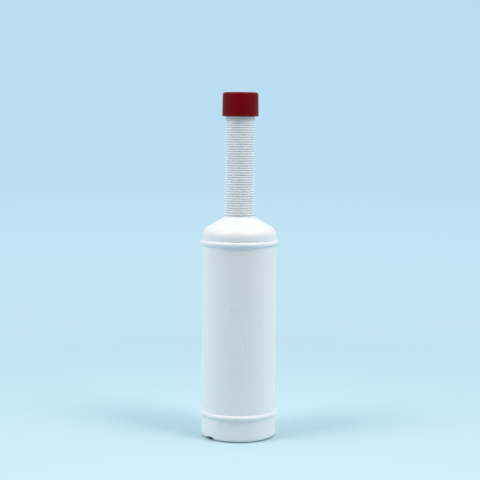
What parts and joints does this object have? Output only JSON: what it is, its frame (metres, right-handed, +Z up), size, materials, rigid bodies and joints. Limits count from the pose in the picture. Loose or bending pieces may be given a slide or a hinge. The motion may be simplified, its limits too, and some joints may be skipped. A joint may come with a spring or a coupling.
{
  "type": "long neck bottle",
  "caption": "Tall white blow-moulded bottle with a long ringed neck, a beaded label panel and a dark red screw cap.",
  "frame": {"origin": "centre of the base, on the surface that the bottle stands on", "axes": "+Z up along the bottle's axis, towards the cap"},
  "size_m": [0.066, 0.066, 0.2905],
  "materials": {
    "white_hdpe": "satin blow-moulded",
    "liner_foam": "soft foam",
    "red_polypropylene": "satin moulded"
  },
  "bodies": {
    "bottle": {"bottle": "white_hdpe"},
    "liner": {"cap_liner": "liner_foam"},
    "cap": {"screw_cap": "red_polypropylene"}
  },
  "joints": [
    {"name": "cap_rise", "type": "slide", "parent": "bottle", "child": "liner", "axis": [0, 0, 1], "range_m": [0, 0.0212]},
    {"name": "cap_turn", "type": "hinge", "parent": "liner", "child": "cap", "pos_m": [0, 0, 0.2805], "axis": [0, 0, 1], "range_deg": [0, 1800]}
  ],
  "couplings": [
    {"joint": "cap_rise", "follows": "cap_turn", "m_per_rad": 0.0006737}
  ]
}
